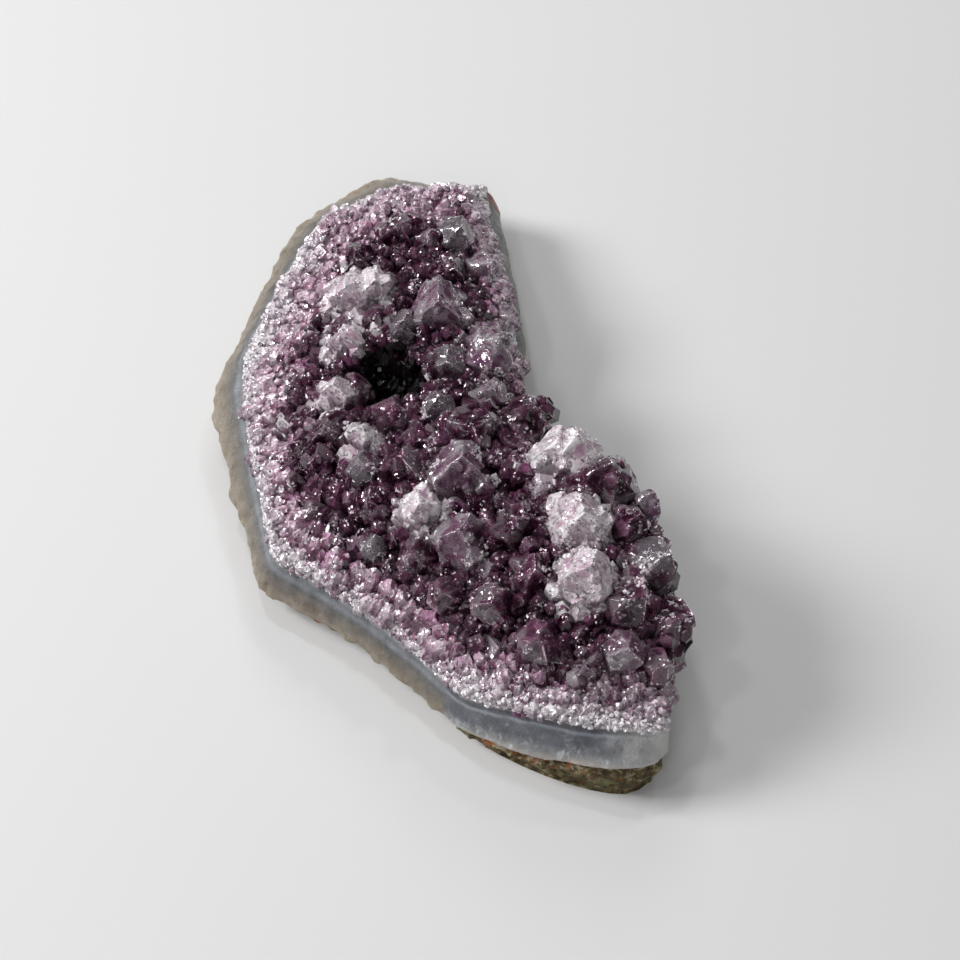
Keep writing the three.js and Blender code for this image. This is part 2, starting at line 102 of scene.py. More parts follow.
# The basalt's lumps: their size, their height and sinking in millimetres, and the height of
# the foot's edge that they leave alone and of the lowest point of the lumpy side.
LUMP_SIZE = 3.2 * MM
LUMP_HEIGHT = 0.7
LUMP_SINK = 0.35
FOOT_EDGE = 0.2 * MM
LOWEST_SIDE = 0.05 * MM

# The druse: millimetres over which its colours change and wander, the hollow (the vug) in it,
# which is darkened with painted shade, how far from the agate its core starts, and the closeness
# to a milky crystal between which more and more of its crystals are frosted.
DEPTH_RANGE = 20
DEPTH_WANDER = 7
DRUSE_START = 0.42 * MM
VUG_PLACE = (-8.8 * MM, 5.5 * MM)
VUG_REACH = 9.5 * MM
VUG_EDGE = 0.25
CORE_DEPTH = 8 * MM
FROST_CHANCE = (0.05, 0.4)

# Painted shade in the hollow: millimetres added to the depth of its bed and of its crystals, so that their
# depth colours turn darker.
VUG_BED_SHADE_DEPTH = 30
VUG_CRYSTAL_SHADE_DEPTH = 16

# Passes of druse crystals: how many for each square millimetre, size, and how far the tips
# stand above the surface, as a negative share of the usual size.
DRUSE_PASSES = ((7, 1.0, -0.75), (6, 0.55, -0.1))

# Quartz: the slope of a crystal's end faces, and a full turn in radians for its random spin.
FACE_ANGLE = math.radians(51.8)
FULL_TURN = 6.28

# Small crystals, in shares of their radius: side faces, setback of the three smaller end faces,
# and the lengths from the tip over which their painted highlight fades and painted shade deepens.
SIDE_FACE = 0.87
SMALL_FACE_SETBACK = (0.02, 0.4)
HIGHLIGHT_LENGTH = 2
SHADE_LENGTH = 2.2

# Standing crystals: feet that stop short of the bed sink into it, edges are bevelled and get a
# painted highlight, roots get painted shade, and milky ones frost their neighbours within a margin.
FOOT_GAP = 0.5 * MM
FOOT_SINK = 2.6 * MM
BEVEL = 0.13 * MM
EDGE_HIGHLIGHT_REACH = 0.9 * MM
SHADE_HEIGHT = 3.2 * MM
FROST_MARGIN = 2.5 * MM
ROOT_HEIGHT = 3 * MM

# Weathering: sizes of swells, growth steps and chips in millimetres. Chips lie along the
# edges within their reach, where a noise passes a level.
SWELL_SIZE = 3.6
STEP_SIZE = 1.1
CHIP_SIZE = 1.4
CHIP_LEVEL = 0.22
CHIP_REACH = 1.1 * MM
CHIP_DEPTH = 1.6

# How far a crystal's faces swell and how deep their steps are, in millimetres.
WEATHERING = {
    "amethyst_deep": (0.18, 0.025),
    "amethyst_pale": (0.22, 0.02),
    "milky_quartz": (0.3, 0.07),
    "clear_quartz": (0.12, 0.015),
}

# Smaller crystals on the flanks of the standing ones: how many for each square millimetre,
# and their radii in millimetres.
SIDE_DENSITY = 0.12
SIDE_RADII = (0.7, 1.9)

# Middle-sized crystals: the same, how far from the agate they start, and each slot with the
# upper end of its share.
MIDDLE_DENSITY = 0.5
MIDDLE_RADII = (1.6, 3.3)
MIDDLE_START = 6.5 * MM
MIDDLE_SHARES = {
    "amethyst_deep": 0.76,
    "amethyst_pale": 0.93,
    "milky_quartz": 0.96,
    "clear_quartz": 1.0,
}

# The crust of tiny crystals: how many for each square millimetre, the noise level under which
# a standing crystal stays bare, the size of the patches, and the radii in millimetres.
CRUST_DENSITY = 4
CRUST_BARE = {"milky_quartz": 0.25, "amethyst_deep": 0.5, "amethyst_pale": 0.4, "clear_quartz": 0.4}
CRUST_PATCH = 4 * MM
CRUST_RADII = (0.15, 0.36)

# The camera, with its lens and sensor in millimetres, the floor and the light of the surround.
CAMERA_TARGET = Vector((6.8, -8.6, 11)) * MM
CAMERA_ELEVATION = math.radians(55)
CAMERA_DISTANCE = 378.5 * MM
CAMERA_LENS = 85
CAMERA_SENSOR = 36
FLOOR_REACH = 3.0
AMBIENT = 0.07

# Square lamps: name, azimuth and elevation in degrees, distance and side in metres, radiance.
LAMPS = (
    ("key_softbox", 174, 40, 0.9, 0.32, 20.5),
    ("back_softbox", 85, 42, 0.9, 0.25, 6.2),
    ("ceiling", 120, 68, 1.0, 0.9, 0.38),
    ("front_fill", 262, 50, 0.9, 0.5, 1.9),
    ("top_spark", 120, 68, 0.9, 0.08, 46),
    ("north_spark", 60, 58, 0.9, 0.05, 58),
    ("west_spark", 205, 66, 0.9, 0.05, 58),
)

# ---------- mesh helpers


def scene_object(name, data):
    """A new object in the scene that holds a mesh, a lamp or a camera."""
    piece = bpy.data.objects.new(name, data)
    bpy.context.scene.collection.objects.link(piece)
    return piece


def triangle_object(name, vertices, triangles):
    """A flat-shaded object from numpy arrays of corners and triangles."""
    mesh = bpy.data.meshes.new(name)
    mesh.vertices.add(len(vertices))
    mesh.vertices.foreach_set("co", vertices.astype(np.float32).ravel())
    mesh.loops.add(triangles.size)
    mesh.loops.foreach_set("vertex_index", triangles.astype(np.int32).ravel())
    mesh.polygons.add(len(triangles))
    mesh.polygons.foreach_set("loop_start", np.arange(0, triangles.size, 3, dtype=np.int32))
    mesh.polygons.foreach_set("use_smooth", [False] * len(triangles))
    mesh.update(calc_edges=True)
    return scene_object(name, mesh)


def float_attribute(piece, name, values):
    """Stores one number for each vertex, for the material to read."""
    layer = piece.data.attributes.new(name, "FLOAT", "POINT")
    layer.data.foreach_set("value", np.asarray(values, dtype=np.float32))


def welded_copy(node):
    """The CAD node's mesh as an edit mesh with its shared corners merged."""
    edit = bmesh.new()
    edit.from_mesh(frame["nodes"][node].data)
    bmesh.ops.remove_doubles(edit, verts=edit.verts, dist=0.005 * MM)
    edit.normal_update()
    return edit


def tree_of(node):
    """A search tree of the CAD node's surface."""
    edit = welded_copy(node)
    bmesh.ops.triangulate(edit, faces=edit.faces)
    tree = BVHTree.FromBMesh(edit)
    edit.free()
    return tree


def finish_piece(piece, material, slot, *nodes):
    """Gives a piece its material, ties it to the object's body and hides the CAD nodes it replaces."""
    piece.data.materials.clear()
    piece.data.materials.append(material)
    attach(piece, BODY)
    if nodes:
        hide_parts(*nodes)
    return piece


# The middle and reach, seen from above, of each milky crystal, whose neighbours are frosted too.
FROST_PLACES = []
for frosted in (name for name in CRYSTAL_NODES if SLOT_OF[name] == "milky_quartz"):
    low_corner, high_corner = (np.array(corner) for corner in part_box(frosted))
    spread = (high_corner - low_corner)[:2].max() / 2
    FROST_PLACES.append((((low_corner + high_corner) / 2)[:2], spread + FROST_MARGIN))

AGATE_TREE = tree_of("agate_rim")
QUARTZ_TREE = tree_of("quartz_bed")
ROCK_TREE = tree_of("host_rock")


def distance_to(tree, point):
    return tree.find_nearest(point)[3]


# ---------- material helpers


class Shader:
    """A material's node tree with short calls for the nodes that these materials use."""

    def __init__(self, name):
        self.material = bpy.data.materials.new(name)
        self.material.use_nodes = True
        self.tree = self.material.node_tree
        self.surface = self.tree.nodes["Principled BSDF"]
        self.output = self.tree.nodes["Material Output"]

    def add(self, kind, **values):
        node = self.tree.nodes.new(kind)
        for name, value in values.items():
            setattr(node, name, value)
        return node

    def put(self, socket, value):
        """Links a socket to another, or sets its plain value or colour."""
        if isinstance(value, bpy.types.NodeSocket):
            self.tree.links.new(value, socket)
        else:
            socket.default_value = (*value, 1) if socket.type == "RGBA" else value

    def feed(self, node, **values):
        """Fills a node's inputs, named with _ for each space."""
        for name, value in values.items():
            self.put(node.inputs[name.replace("_", " ")], value)
        return node

    def set(self, **values):
        """Fills inputs of the surface."""
        self.feed(self.surface, **values)

    def place(self, stretch=(1, 1, 1)):
        """Object coordinates, stretched along the axes."""
        where = self.add("ShaderNodeTexCoord").outputs["Object"]
        scaled = self.feed(self.add("ShaderNodeMapping"), Vector=where, Scale=stretch)
        return scaled.outputs["Vector"]

    def noise(self, size_mm, detail=4, rough=0.55, stretch=(1, 1, 1), distortion=0):
        """A noise from 0 to 1 whose blobs are about size_mm wide."""
        node = self.add("ShaderNodeTexNoise")
        self.feed(node, Scale=1 / (size_mm * MM), Detail=detail, Roughness=rough, Distortion=distortion)
        return self.feed(node, Vector=self.place(stretch)).outputs["Fac"]

    def cells(self, size_mm, output="Color"):
        """Cells about size_mm wide, as a random colour for each or the distance to its middle."""
        node = self.add("ShaderNodeTexVoronoi")
        return self.feed(node, Scale=1 / (size_mm * MM), Vector=self.place()).outputs[output]

    def attribute(self, name):
        return self.add("ShaderNodeAttribute", attribute_name=name).outputs["Fac"]

    def math(self, operation, *values):
        node = self.add("ShaderNodeMath", operation=operation)
        for socket, value in zip(node.inputs, values):
            self.put(socket, value)
        return node.outputs[0]

    def plus(self, first, second):
        return self.math("ADD", first, second)

    def minus(self, first, second):
        return self.math("SUBTRACT", first, second)

    def times(self, first, second):
        return self.math("MULTIPLY", first, second)

    def ramp(self, factor, stops):
        """A colour for a factor: stops are (place, (red, green, blue))."""
        node = self.add("ShaderNodeValToRGB")
        elements = node.color_ramp.elements
        while len(elements) < len(stops):
            elements.new(1.0)
        for element, (place, colour) in zip(elements, stops):
            element.position = place
            element.color = (*colour, 1)
        return self.feed(node, Fac=factor).outputs["Color"]

    def level(self, factor, low, high):
        """1 where the factor is above high, 0 below low, smooth in between."""
        node = self.add("ShaderNodeMapRange", interpolation_type="SMOOTHSTEP")
        return self.feed(node, Value=factor, From_Min=low, From_Max=high).outputs["Result"]

    def mix(self, factor, first, second, blend="MIX"):
        node = self.add("ShaderNodeMix", data_type="RGBA", blend_type=blend)
        for place, value in ((0, factor), (6, first), (7, second)):
            self.put(node.inputs[place], value)
        return node.outputs[2]

    def stained(self, base, mask, amount, colour):
        """A base colour with another over it where a mask is 1."""
        return self.mix(self.times(mask, amount), base, colour)

    def mottled(self, colour, amount, pattern, low, high, dark):
        """A colour made lighter and darker where a pattern is above high and below low."""
        light = 1 - dark
        greys = self.ramp(pattern, [(low, (dark, dark, dark)), (high, (light, light, light))])
        return self.mix(amount, colour, greys, "SOFT_LIGHT")

    def vector(self, operation, *values):
        """A vector operation on sockets and plain triples, with a plain or linked scale last."""
        node = self.add("ShaderNodeVectorMath", operation=operation)
        sockets = (node.inputs[0], node.inputs["Scale"]) if operation == "SCALE" else node.inputs
        for socket, value in zip(sockets, values):
            self.put(socket, value)
        return node.outputs[0]

    def tilted_normal(self, shake, amount):
        """The surface's normal, turned by a random colour from 0 to 1 times an amount."""
        turn = self.vector("SCALE", self.vector("SUBTRACT", shake, (0.5, 0.5, 0.5)), amount)
        normal = self.add("ShaderNodeNewGeometry").outputs["Normal"]
        return self.vector("NORMALIZE", self.vector("ADD", normal, turn))

    def first_channel(self, colour):
        return self.feed(self.add("ShaderNodeSeparateColor"), Color=colour).outputs["Red"]

    def depth(self):
        """Millimetres from the agate, with a wandering border."""
        wander = self.times(self.minus(self.noise(4), 0.5), DEPTH_WANDER)
        return self.plus(self.attribute("depth"), wander)

    def by_depth(self, colours):
        """A plain colour, or for a list of (millimetres from the agate, colour) their blend."""
        if isinstance(colours, tuple):
            return colours
        stops = [(place / DEPTH_RANGE, colour) for place, colour in colours]
        return self.ramp(self.math("DIVIDE", self.depth(), DEPTH_RANGE), stops)

    def bump(self, height, depth_mm, strength=1.0, under=None):
        """A normal that follows a height pattern, over the normal of another pattern."""
        node = self.add("ShaderNodeBump")
        self.feed(node, Strength=strength, Distance=depth_mm * MM, Height=height)
        if under is not None:
            self.feed(node, Normal=under)
        return node.outputs["Normal"]

    def absorb(self, colour, density):
        """Plain absorption inside the piece, per metre."""
        node = self.feed(self.add("ShaderNodeVolumeAbsorption"), Color=colour, Density=density)
        self.feed(self.output, Volume=node.outputs["Volume"])


# ---------- materials


# Colours at distances from the agate in millimetres.
BED_COLOURS = [
    (0, (0.82, 0.82, 0.83)),
    (3, (0.62, 0.55, 0.60)),
    (6, (0.20, 0.08, 0.15)),
    (10, (0.03, 0.006, 0.018)),
    (20, (0.010, 0.003, 0.006)),
]
DRUSE_LIGHT = [
    (0, (0.98, 0.98, 0.99)),
    (2.2, (0.96, 0.92, 0.95)),
    (4.5, (0.84, 0.64, 0.76)),
    (7.5, (0.60, 0.32, 0.48)),
    (13, (0.49, 0.17, 0.35)),
]
DRUSE_DARK = [
    (0, (0.74, 0.71, 0.75)),
    (2.2, (0.50, 0.38, 0.47)),
    (4.5, (0.28, 0.11, 0.21)),
    (7.5, (0.12, 0.018, 0.062)),
    (13, (0.05, 0.005, 0.025)),
]


def basalt_material():
    """Grainy green-brown stone with rust and moss colours, cream and burnt along the seam."""
    shader = Shader("basalt")
    body = shader.ramp(
        shader.noise(1.6, detail=8, rough=0.7),
        [
            (0.3, (0.02, 0.013, 0.006)),
            (0.46, (0.10, 0.075, 0.03)),
            (0.57, (0.26, 0.21, 0.105)),
            (0.68, (0.68, 0.60, 0.44)),
        ],
    )
    rust = shader.level(shader.noise(2.6, detail=8, rough=0.7), 0.57, 0.68)
    body = shader.stained(body, rust, 0.8, (0.42, 0.13, 0.04))
    moss = shader.level(shader.noise(4.5, detail=3), 0.55, 0.7)
    body = shader.stained(body, moss, 0.6, (0.25, 0.26, 0.12))
    seam = shader.attribute("seam")
    cream = shader.plus(shader.noise(1.4, detail=6, rough=0.7), shader.times(seam, 0.2))
    body = shader.stained(body, shader.level(cream, 0.6, 0.72), 0.85, (0.66, 0.56, 0.42))
    burnt = shader.plus(shader.noise(2.4, detail=5), shader.times(seam, 0.22))
    body = shader.stained(body, shader.level(burnt, 0.68, 0.76), 0.9, (0.50, 0.15, 0.045))
    body = shader.mix(1.0, body, (0.74, 0.72, 0.66), "MULTIPLY")
    pits = shader.bump(shader.noise(0.7, detail=6, rough=0.7), 0.35)
    shader.set(Base_Color=body, Roughness=0.9, Normal=pits)
    return shader.material


def agate_material():
    """Chalcedony whose bands follow the distance from the quartz (0) to the basalt (1)."""
    shader = Shader("agate")
    band = shader.attribute("band")
    wander = shader.minus(shader.noise(6, detail=5), 0.5)
    band = shader.plus(band, shader.times(wander, 0.16))
    tan = shader.attribute("tan")
    blue = shader.ramp(
        band,
        [
            (0.0, (0.36, 0.36, 0.38)), (0.06, (0.12, 0.12, 0.145)), (0.12, (0.14, 0.145, 0.175)),
            (0.17, (0.36, 0.38, 0.44)), (0.24, (0.15, 0.155, 0.185)), (0.5, (0.14, 0.145, 0.17)),
            (0.72, (0.34, 0.345, 0.35)), (0.86, (0.66, 0.60, 0.53)), (1.0, (0.70, 0.60, 0.50)),
        ],
    )
    warm = shader.ramp(
        band,
        [
            (0.0, (0.40, 0.40, 0.41)), (0.10, (0.19, 0.20, 0.215)), (0.20, (0.26, 0.275, 0.30)),
            (0.30, (0.15, 0.15, 0.155)), (0.38, (0.18, 0.165, 0.145)), (0.55, (0.23, 0.20, 0.165)),
            (0.80, (0.36, 0.30, 0.23)), (1.0, (0.56, 0.44, 0.30)),
        ],
    )
    body = shader.mix(tan, blue, warm)
    streaks = shader.level(shader.noise(1.3, detail=5, stretch=(1, 1, 0.25)), 0.53, 0.66)
    polished = shader.minus(1.0, tan)
    in_blue = shader.times(shader.times(streaks, polished), shader.level(band, 0.35, 0.75))
    body = shader.stained(body, in_blue, 0.75, (0.74, 0.75, 0.77))
    wisps = shader.level(shader.noise(2.1, detail=6, rough=0.7, distortion=0.6), 0.55, 0.68)
    inside = shader.times(shader.times(wisps, polished), shader.level(band, 0.16, 0.3))
    body = shader.stained(body, inside, 0.4, (0.62, 0.64, 0.68))
    specks = shader.ramp(
        shader.noise(0.9, detail=6, rough=0.7),
        [
            (0.38, (0.05, 0.055, 0.05)),
            (0.48, (0.17, 0.19, 0.16)),
            (0.6, (0.24, 0.26, 0.225)),
            (0.7, (0.5, 0.5, 0.47)),
        ],
    )
    body = shader.stained(body, shader.attribute("east"), 0.75, specks)
    body = shader.stained(body, shader.attribute("pale"), 1.2, (0.78, 0.78, 0.76))
    speckle = shader.times(shader.minus(shader.noise(1.2), 0.5), 0.8)
    corner = shader.level(shader.plus(shader.attribute("rust"), speckle), 0.35, 0.6)
    body = shader.mix(corner, body, (0.36, 0.08, 0.035))
    body = shader.mottled(body, 0.6, shader.noise(2.4, detail=6, rough=0.65), 0.3, 0.7, dark=0.15)
    crust = shader.times(shader.level(band, 0.36, 0.6), tan)
    stain = shader.times(shader.level(shader.noise(1.7, detail=6, rough=0.7), 0.54, 0.68), crust)
    body = shader.stained(body, stain, 0.75, (0.13, 0.085, 0.05))
    rust = shader.level(shader.noise(2.2, detail=5), 0.58, 0.65)
    body = shader.mix(shader.times(rust, shader.level(band, 0.75, 0.98)), body, (0.45, 0.15, 0.06))
    body = shader.mix(1.0, body, (0.8, 0.8, 0.8), "MULTIPLY")
    wrinkles = shader.bump(shader.noise(1.3, detail=6, rough=0.65), 0.5, strength=0.8)
    skin = shader.bump(shader.noise(0.8, detail=5), 0.10, strength=0.35, under=wrinkles)
    shader.set(Base_Color=body, Roughness=0.28, Normal=skin, IOR=1.53)
    shader.set(Subsurface_Weight=0.35, Subsurface_Scale=1.2 * MM, Subsurface_Radius=(1.0, 0.9, 0.8))
    return shader.material


def bed_material():
    """The matrix between the small crystals: white at the agate, dark purple away from it."""
    shader = Shader("druse_bed")
    lumps = shader.bump(shader.cells(0.9, "Distance"), 0.4)
    shader.set(Base_Color=shader.by_depth(BED_COLOURS), Roughness=0.35, Normal=lumps)
    return shader.material


def quartz_material(
    name, light, dark, absorb, density, clear,
    veil=0.3, flecks=0.05, mirror=0.8, tilt=0.05, gloss=0.05, painted_outline=0.0, painted_glint_white=0.5, fibre=0.8,
    patch_mm=2.2, flaw_mm=0.36, clustering=0.9, painted_shade=0.8, zone=None, zoning=0.6,
):
    """See-through quartz: coloured patches, cloudy veils, and flaws that flash like small mirrors, with
    white painted on them as glints.

    Every crystal has a "tint" (0 light, 1 dark), a "painted_highlight" that is 1 at its tip and edges
    and lightens the colour there as a painted highlight, and a "shade" that is 0 at its buried root,
    where shade is painted. The druse's colours and flaws also follow its distance from the agate.
    A zone is a second colour that large parts of a crystal have.
    """
    shader = Shader(name)

    # Colour: patches of the two colours, growth fibres, veils and zones.
    painted_highlight = shader.attribute("painted_highlight")
    patch = shader.noise(patch_mm, detail=5, rough=0.5)
    amount = shader.plus(shader.times(shader.attribute("tint"), 0.35), patch)
    # Painted highlight: the colour is lighter at tips and edges.
    amount = shader.minus(amount, shader.times(painted_highlight, 0.4))
    colour = shader.mix(shader.level(amount, 0.12, 0.72), shader.by_depth(light), shader.by_depth(dark))
    fibres = shader.noise(0.5, detail=3, rough=0.6, stretch=(1, 1, 0.2))
    colour = shader.mottled(colour, fibre, fibres, 0.35, 0.65, dark=0.08)
    cloud = shader.level(shader.noise(1.5, detail=6, rough=0.65, distortion=0.8), 0.52, 0.70)
    colour = shader.stained(colour, cloud, veil, (0.90, 0.80, 0.86))
    if zone:
        zones = shader.level(shader.noise(4.4, detail=4, rough=0.55, distortion=0.6), 0.52, 0.60)
        colour = shader.stained(colour, zones, zoning, zone)

    # Flaws: small cells, some of them mirrors whose white is a painted glint, crowded in places and few in
    # the painted shade.
    flaw = shader.cells(flaw_mm)
    busy = shader.times(shader.minus(shader.noise(3.0, detail=3), 0.5), clustering)
    # Painted shade: 1 near a crystal's root, where the colour is darkened.
    painted_root_shade = shader.level(shader.attribute("shade"), 0.85, 0.15)
    chance = shader.plus(shader.first_channel(flaw), busy)
    chance = shader.minus(chance, shader.times(painted_root_shade, 0.4 * painted_shade))
    if isinstance(light, list):
        near_agate = shader.level(shader.depth(), 9, 1)
        chance = shader.plus(chance, shader.times(near_agate, 0.25))
    fleck = shader.level(chance, 0.98 - flecks, 1 - flecks)
    broken = shader.level(shader.noise(1.3, detail=3), 0.42, 0.58)
    # Painted highlight: a broken white outline along the edges.
    edge = shader.times(shader.level(painted_highlight, 0.74, 1.0), shader.times(broken, painted_outline))
    flash_and_painted_edges = shader.math("MAXIMUM", fleck, edge)
    # Painted glints and highlights: white on the mirror flaws and on the edge outline.
    colour = shader.stained(colour, flash_and_painted_edges, painted_glint_white, (0.97, 0.91, 0.95))
    # Painted shade: near-black colour at the roots.
    colour = shader.stained(colour, painted_root_shade, painted_shade, (0.035, 0.004, 0.017))

    # Surface: fine growth lines, flaws that face their own way and shine as mirrors.
    turn = shader.plus(shader.times(fleck, 1.2), tilt)
    lines = shader.noise(0.7, detail=3, rough=0.6, stretch=(1, 1, 2.5))
    normal = shader.bump(lines, 0.04, strength=0.4, under=shader.tilted_normal(flaw, turn))
    rough = shader.math("MAXIMUM", shader.plus(shader.times(cloud, 0.2), gloss), shader.times(flash_and_painted_edges, 0.28))
    shader.set(Base_Color=colour, Metallic=shader.times(flash_and_painted_edges, mirror), Roughness=rough, Normal=normal)
    shader.set(IOR=1.544, Transmission_Weight=clear)
    shader.absorb(absorb, density)
    return shader.material


def crack_material():
    """A healed crack: a wispy pale film that shows the quartz behind it."""
    shader = Shader("crack")
    wisps = shader.level(shader.noise(0.9, detail=6, rough=0.7, distortion=1.0), 0.42, 0.68)
    shader.set(Base_Color=(0.90, 0.84, 0.88), Alpha=shader.times(wisps, 0.6), Roughness=0.25, Metallic=0.5)
    return shader.material


# What each kind of quartz changes in quartz_material.
QUARTZ = {
    "slope_quartz": dict(
        light=DRUSE_LIGHT, dark=DRUSE_DARK, absorb=(0.7, 0.4, 0.62), density=60, clear=0.16, veil=0.4,
        flecks=0.34, mirror=0.5, tilt=0.2, painted_glint_white=0.75, clustering=1.3, painted_shade=0.45,
    ),
    "frost_quartz": dict(
        light=(0.99, 0.95, 0.97), dark=(0.62, 0.50, 0.58), absorb=(0.88, 0.80, 0.85), density=40,
        clear=0.2, veil=0.8, flecks=0.34, mirror=0.5, tilt=0.2, painted_glint_white=1.0, painted_shade=0.5,
    ),
    "core_quartz": dict(
        light=DRUSE_LIGHT, dark=DRUSE_DARK, absorb=(0.5, 0.09, 0.36), density=260, clear=0.78, veil=0.15,
        flecks=0.23, mirror=0.9, tilt=0.1, painted_glint_white=0.75, clustering=1.6,
    ),
    # The hollow's crystals: a near-black colour that is painted shade, with dense absorption.
    "vug_painted_shade_quartz": dict(
        light=(0.008, 0.005, 0.007), dark=(0.002, 0.001, 0.002), absorb=(0.4, 0.2, 0.3), density=900,
        clear=0.3, veil=0.0, flecks=-0.3, gloss=0.2, painted_shade=0.0,
    ),
    "sugar": dict(
        light=(0.96, 0.91, 0.94), dark=(0.78, 0.68, 0.74), absorb=(0.85, 0.8, 0.84), density=30,
        clear=0.25, flecks=0.25, mirror=0.6, tilt=0.2, painted_glint_white=1.0, painted_shade=0.0,
    ),
    "amethyst_deep": dict(
        light=(0.70, 0.29, 0.51), dark=(0.12, 0.010, 0.062), absorb=(0.54, 0.09, 0.38), density=200,
        clear=0.82, veil=0.2, flecks=0.05, tilt=0.02, painted_outline=0.9, painted_glint_white=0.85, fibre=0.5, patch_mm=4,
        flaw_mm=0.42, clustering=2.6, painted_shade=0.9, zone=(0.90, 0.79, 0.86), zoning=0.62,
    ),
    "amethyst_pale": dict(
        light=(0.92, 0.76, 0.87), dark=(0.36, 0.15, 0.29), absorb=(0.64, 0.33, 0.53), density=120,
        clear=0.72, veil=0.35, flecks=0.05, tilt=0.02, painted_outline=1.0, painted_glint_white=0.9, fibre=0.5, patch_mm=5,
        flaw_mm=0.42, clustering=2.8, painted_shade=0.75, zone=(0.95, 0.89, 0.93), zoning=0.7,
    ),
    "milky_quartz": dict(
        light=(0.99, 0.95, 0.97), dark=(0.66, 0.54, 0.61), absorb=(0.90, 0.84, 0.88), density=30,
        clear=0.16, veil=0.9, flecks=0.30, mirror=0.45, tilt=0.15, gloss=0.06, painted_outline=0.7, painted_glint_white=1.0,
        painted_shade=0.5, zone=(0.42, 0.20, 0.33), zoning=0.6,
    ),
    "clear_quartz": dict(
        light=(0.97, 0.93, 0.97), dark=(0.62, 0.52, 0.61), absorb=(0.86, 0.77, 0.85), density=45,
        clear=0.84, veil=0.35, flecks=0.04, tilt=0.02, gloss=0.02, painted_outline=1.0, painted_glint_white=1.0, fibre=0.4,
        patch_mm=4, flaw_mm=0.42, clustering=2.6, painted_shade=0.6, zone=(0.30, 0.07, 0.19), zoning=0.75,
    ),
}

MATERIALS = {
    "basalt": basalt_material(),
    "agate": agate_material(),
    "bed": bed_material(),
    "crack": crack_material(),
}
for quartz_name, values in QUARTZ.items():
    MATERIALS[quartz_name] = quartz_material(quartz_name, **values)

# ---------- basalt skin and agate


def refine(edit, longest, wanted):
    """Splits the edges longer than a length wherever wanted(midpoint) holds."""
    for _ in range(REFINE_PASSES):
        long_edges = [
            edge
            for edge in edit.edges
            if edge.calc_length() > longest and wanted((edge.verts[0].co + edge.verts[1].co) / 2)
        ]
        if not long_edges:
            break
        bmesh.ops.subdivide_edges(edit, edges=long_edges, cuts=1, use_grid_fill=False)
        bmesh.ops.triangulate(edit, faces=edit.faces)


def smooth_shaded(edit, name, sharp_degrees):
    """The edit mesh as an object, smooth but for edges sharper than an angle."""
    limit = math.radians(sharp_degrees)
    edit.normal_update()
    for face in edit.faces:
        face.smooth = True
    for edge in edit.edges:
        edge.smooth = len(edge.link_faces) != 2 or edge.calc_face_angle() < limit
    mesh = bpy.data.meshes.new(name)
    edit.to_mesh(mesh)
    edit.free()
    return scene_object(name, mesh)


def tan_amount(point):
    """1 on the knobbly west and south-west edges, 0 on the sawn south end and the east."""
    angle = math.degrees(math.atan2(point.y - TAN_CENTRE[1], point.x - TAN_CENTRE[0])) % 360
    return float(np.interp(angle, TAN_ANGLES, TAN_SHARES))


def east_amount(point):
    """1 on the speckled broken wall of the east side, 0 elsewhere."""
    beyond = min(point.x - EAST_CORNER[0], point.y - EAST_CORNER[1]) / EAST_REACH
    return min(1, max(0, beyond))


def corner_amount(point, corner, reach):
    """1 at a corner, falling to 0 at its reach, seen from above."""
    return max(0, 1 - math.dist(point[:2], corner) / reach)


def band_amount(point):
    """The place between the quartz (0) and the basalt (1) in the agate's bands."""
    to_quartz = distance_to(QUARTZ_TREE, point)
    to_rock = distance_to(ROCK_TREE, point)
    return max(0, to_quartz - 0.3 * MM) / (to_quartz + to_rock)


def make_agate():
    """The agate, smoothed, with knobs low on its tan sides and faint waves elsewhere."""
    edit = welded_copy("agate_rim")
    outside = lambda point: min(distance_to(QUARTZ_TREE, point), distance_to(ROCK_TREE, point)) > TOUCHING
    refine(edit, AGATE_EDGE, outside)
    free = [vertex for vertex in edit.verts if outside(vertex.co)]
    for _ in range(2):
        bmesh.ops.smooth_vert(
            edit, verts=free, factor=0.5, use_axis_x=True, use_axis_y=True, use_axis_z=True
        )
    edit.normal_update()
    for vertex in free:
        knobs = noise.fractal(vertex.co / KNOB_SIZE, 0.9, 2.1, 4)
        wrinkles = noise.fractal(vertex.co / WRINKLE_SIZE, 0.8, 2.1, 3)
        low = 1 - min(1, distance_to(ROCK_TREE, vertex.co) / KNOB_BELT)
        knobbly = tan_amount(vertex.co) * low
        push = (WAVE_HEIGHT + KNOB_HEIGHT * knobbly) * knobs + WRINKLE_HEIGHT * knobbly * wrinkles
        vertex.co += vertex.normal * ((push - POLISH_LOSS) * MM)
    piece = smooth_shaded(edit, "agate_rim_polished", sharp_degrees=50)
    amounts = {
        "band": band_amount,
        "tan": tan_amount,
        "pale": lambda point: corner_amount(point, PALE_CORNER, PALE_REACH),
        "rust": lambda point: corner_amount(point, RUST_CORNER, RUST_REACH),
        "east": east_amount,
    }
    for name, amount in amounts.items():
        float_attribute(piece, name, [amount(vertex.co) for vertex in piece.data.vertices])
    return finish_piece(piece, MATERIALS["agate"], "agate", "agate_rim")


